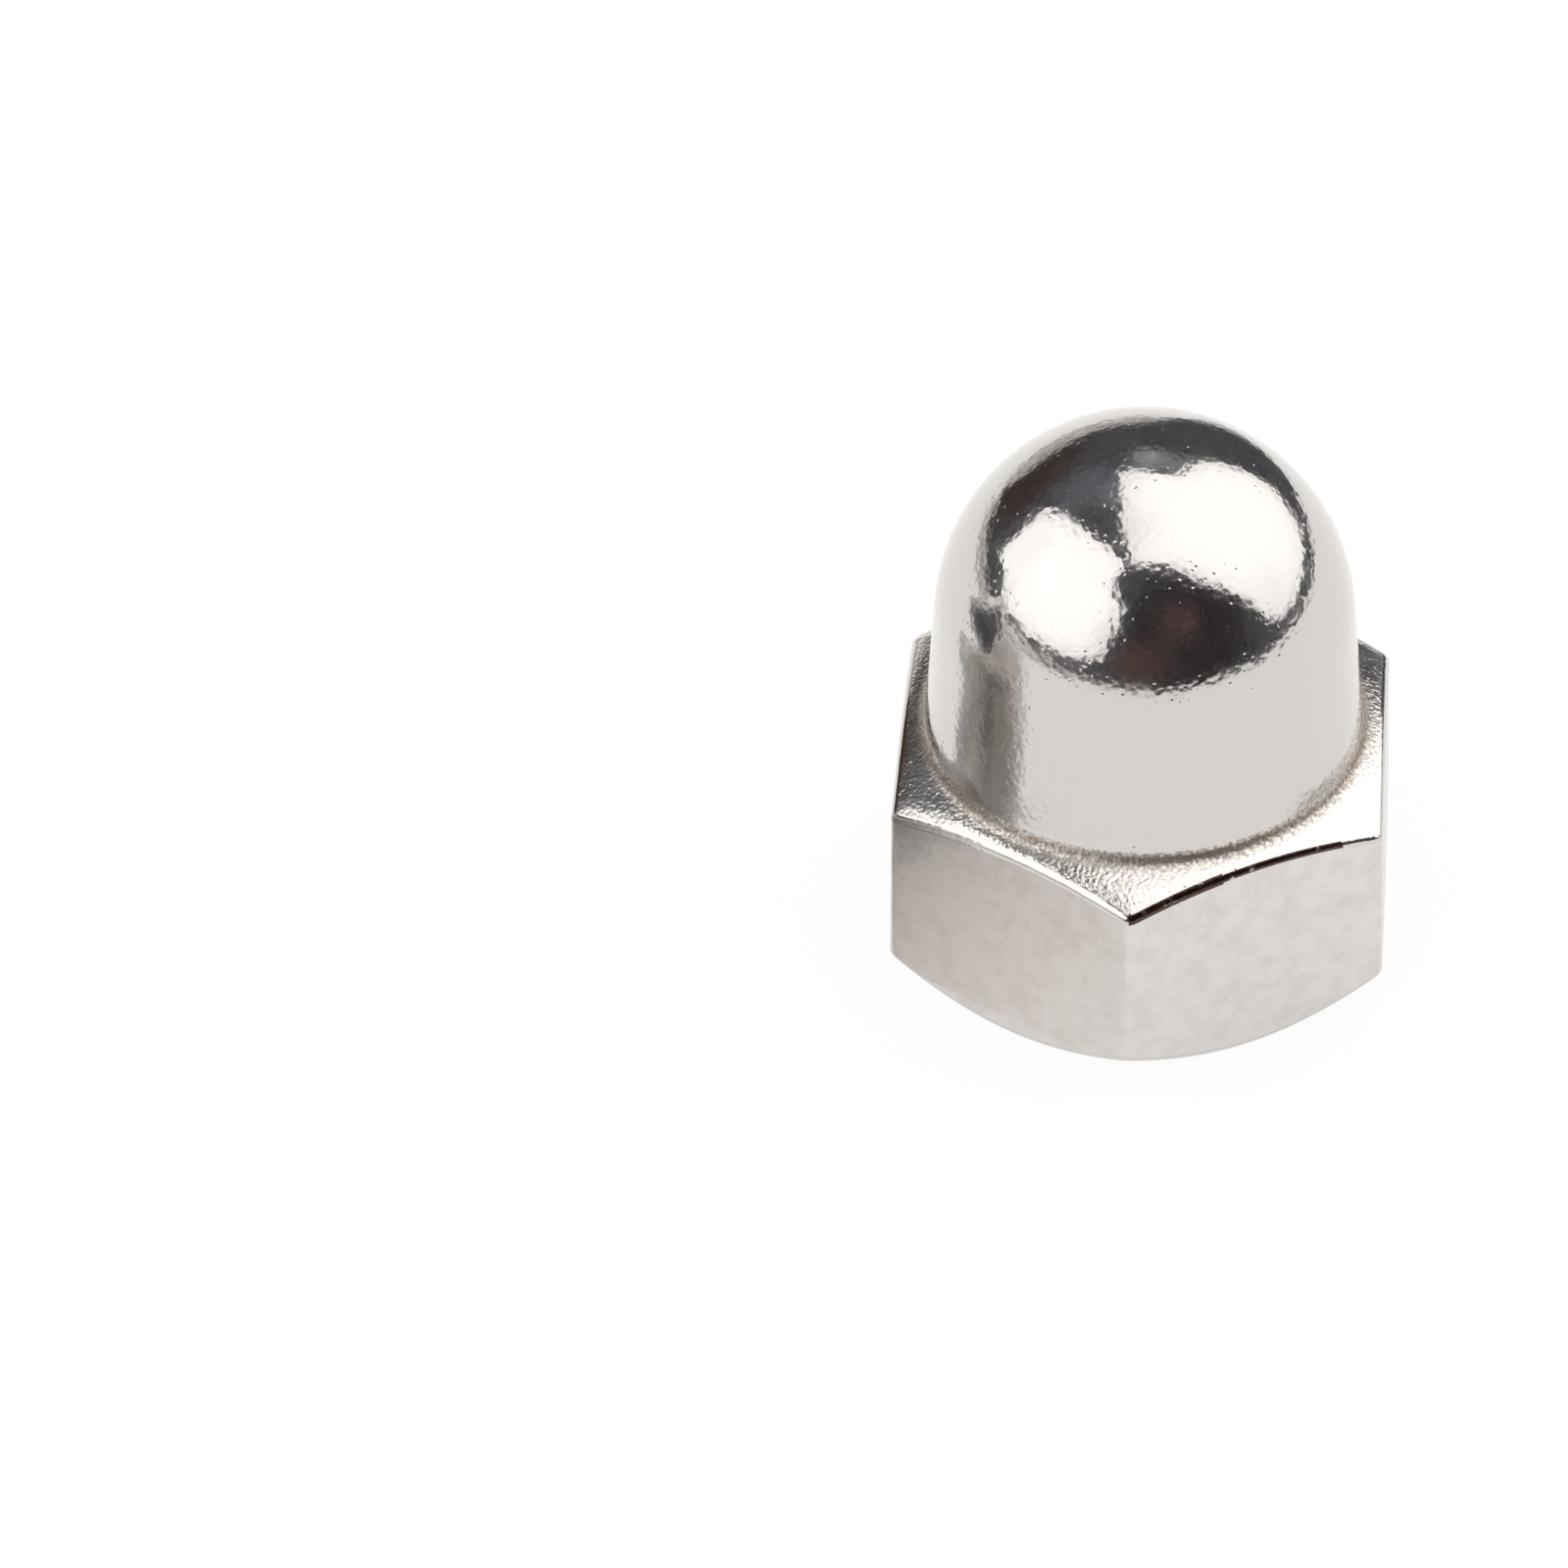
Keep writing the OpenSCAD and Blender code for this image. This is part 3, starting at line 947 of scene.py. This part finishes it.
soft_card("flag_black", [
    (-13.9, 0.2, 10.4), (-13.9, -2.3, 12.7), (-13.9, -4.2, 14.4), (-13.9, -5.8, 12.2),
    (-13.9, -5.7, 9.3), (-13.9, -4.5, 7.1), (-13.9, -1.7, 9.0)], "5A585B")
soft_card("flag_brown", [
    (-10.5, -1.9, 0.1), (-14.0, -0.2, 7.0), (-14.0, -4.5, 8.5), (-14.0, -6.6, 12.4),
    (-14.0, -9.0, 12.0), (-14.0, -10.2, 9.4), (-10.5, -8.2, 0.1)], "C4BDB7")
soft_card("dark_cloth", [
    (2, 900, CARD_Z), (6, 48, CARD_Z), (16, 56, CARD_Z), (30, 72, CARD_Z), (56, 100, CARD_Z),
    (120, 170, CARD_Z), (900, 700, CARD_Z)], ROOM, core=0.93, reach=1.0)
print("two flags and a dark cloth")

# %% [markdown]
# Light and shade for the left side
#
# A small bounce card hangs on the left, where only the shoulder sees it, and brightens the shoulder
# between the corner and the front. A painted shadow lies on the table in front of the left flat,
# seen only in mirrors, and darkens the flat's reflection, more towards the left. It runs along the
# flat in bands, each with its own grey.

# %% Bounce card
BOUNCE_LEVEL = 1.5
bounce = [
    (-12.5, -3.0, 15.6), (-12.5, 1.0, 15.8), (-12.5, 1.6, 19.0), (-12.5, 2.0, 24.0),
    (-12.5, -2.5, 24.0),
]
card("bounce_card", np.array(bounce) * MM, [tuple(range(len(bounce)))],
     [(BOUNCE_LEVEL, BOUNCE_LEVEL, BOUNCE_LEVEL, 1.0)] * len(bounce), softbox_cloth)
print("bounce card", bounce[0][2], "mm above the table")

# %% Painted shadow on the table, seen in mirrors
FLAT_FACES, FLAT_RUNS = 240, 330
SHADOW_NEAR, SHADOW_FAR = 6.8, 15
shade_points, shade_paint = [], []
# Greys of the painted shadow along the flat, darkest towards the left.
for along, colour in ((5, WHITE), (1, "F6F3F1"), (-3, "E4DEDA"), (-8, "B9B2AC"), (-14, WHITE)):
    for away in (SHADOW_NEAR, SHADOW_FAR):
        x, y = away * toward(FLAT_FACES) + along * toward(FLAT_RUNS)
        shade_points.append((x * MM, y * MM, CARD_Z * MM))
        shade_paint.append(linear(colour))
bands = [(i, i + 1, i + 3, i + 2) for i in range(0, len(shade_points) - 2, 2)]
card("painted_table_shadow", shade_points, bands, shade_paint, softbox_cloth)
print("grey cloth in", len(bands), "bands")

# %% [markdown]
# The table
#
# The table is plain white card. Its own light is mixed with a steady white for the eye and for
# mirrors, so that it stays pale while the nut still leaves a soft shadow at its foot.

# %% Table
TABLE_RADIUS, TABLE_SIDES = 2.0, 96
TABLE_GAP = 0.02 * MM
TABLE_WHITE = "F2F1EF"
SHADOW_SHARE, MIRRORED_SHADOW_SHARE = 0.06, 0.35

bpy.ops.mesh.primitive_circle_add(
    vertices=TABLE_SIDES, radius=TABLE_RADIUS, fill_type="NGON", location=(0, 0, -TABLE_GAP))
table_top = bpy.context.object
table_top.name = "table"
white_card, tree = new_material("white_card")
path = add(tree, "ShaderNodeLightPath")
mirrored = add(tree, "ShaderNodeMath", {
    0: path.outputs["Is Glossy Ray"], 1: path.outputs["Is Transmission Ray"]},
    operation="ADD", use_clamp=True)
mirror_share = add(tree, "ShaderNodeMath", {
    0: mirrored.outputs[0], 1: 1 - MIRRORED_SHADOW_SHARE}, operation="MULTIPLY")
share = add(tree, "ShaderNodeMath", {
    0: path.outputs["Is Camera Ray"], 1: 1 - SHADOW_SHARE, 2: mirror_share.outputs[0]},
    operation="MULTIPLY_ADD", use_clamp=True)
lit = add(tree, "ShaderNodeBsdfDiffuse", {"Color": linear(TABLE_WHITE)})
steady = add(tree, "ShaderNodeEmission", {"Color": linear(WHITE), "Strength": 1.0})
mixed = add(tree, "ShaderNodeMixShader", {
    0: share.outputs[0], 1: lit.outputs["BSDF"], 2: steady.outputs["Emission"]})
add(tree, "ShaderNodeOutputMaterial", {"Surface": mixed.outputs["Shader"]})
table_top.data.materials.append(white_card)
print("table", 2 * TABLE_RADIUS, "m across")

# %% [markdown]
# The camera
#
# The nut was photographed close up, from the front and well above it. Distance, height and turn
# were found by fitting the corners of the hexagon and the dome's outline to the picture. The camera
# looks past the nut to the middle of the frame, so nothing is shifted.

# %% Camera
CAMERA_ELEVATION = 40.84
CAMERA_ROLL = 2.14
NUT_TURN = -6.65
CAMERA_DISTANCE = 180.0
NUT_RIGHT_OF_MIDDLE = 9.605
NUT_ABOVE_MIDDLE = -3.046
FOCAL_PIXELS = 6841.5
FRAME_PIXELS = 1600
SENSOR = 36.0

tilt = np.radians(CAMERA_ELEVATION)
looking = np.array([[1, 0, 0], [0, np.sin(tilt), np.cos(tilt)], [0, -np.cos(tilt), np.sin(tilt)]])
roll = np.array(Matrix.Rotation(np.radians(CAMERA_ROLL), 3, "Z"))
turn = np.array(Matrix.Rotation(np.radians(NUT_TURN), 3, "Z"))
to_camera = roll @ looking @ turn
offset = np.array([NUT_RIGHT_OF_MIDDLE, NUT_ABOVE_MIDDLE, -CAMERA_DISTANCE]) * MM
camera_data = bpy.data.cameras.new("camera")
camera_data.sensor_width = SENSOR
camera_data.lens = FOCAL_PIXELS / FRAME_PIXELS * SENSOR
camera_data.clip_start = 1 * MM
camera = bpy.data.objects.new("camera", camera_data)
bpy.context.scene.collection.objects.link(camera)
camera.matrix_world = Matrix.Translation(Vector(-to_camera.T @ offset)) @ Matrix(to_camera.T).to_4x4()
bpy.context.scene.camera = camera
bpy.context.scene.view_settings.view_transform = "Standard"
print("lens", round(camera_data.lens, 1), "mm, camera at", [round(v / MM, 1) for v in camera.location])
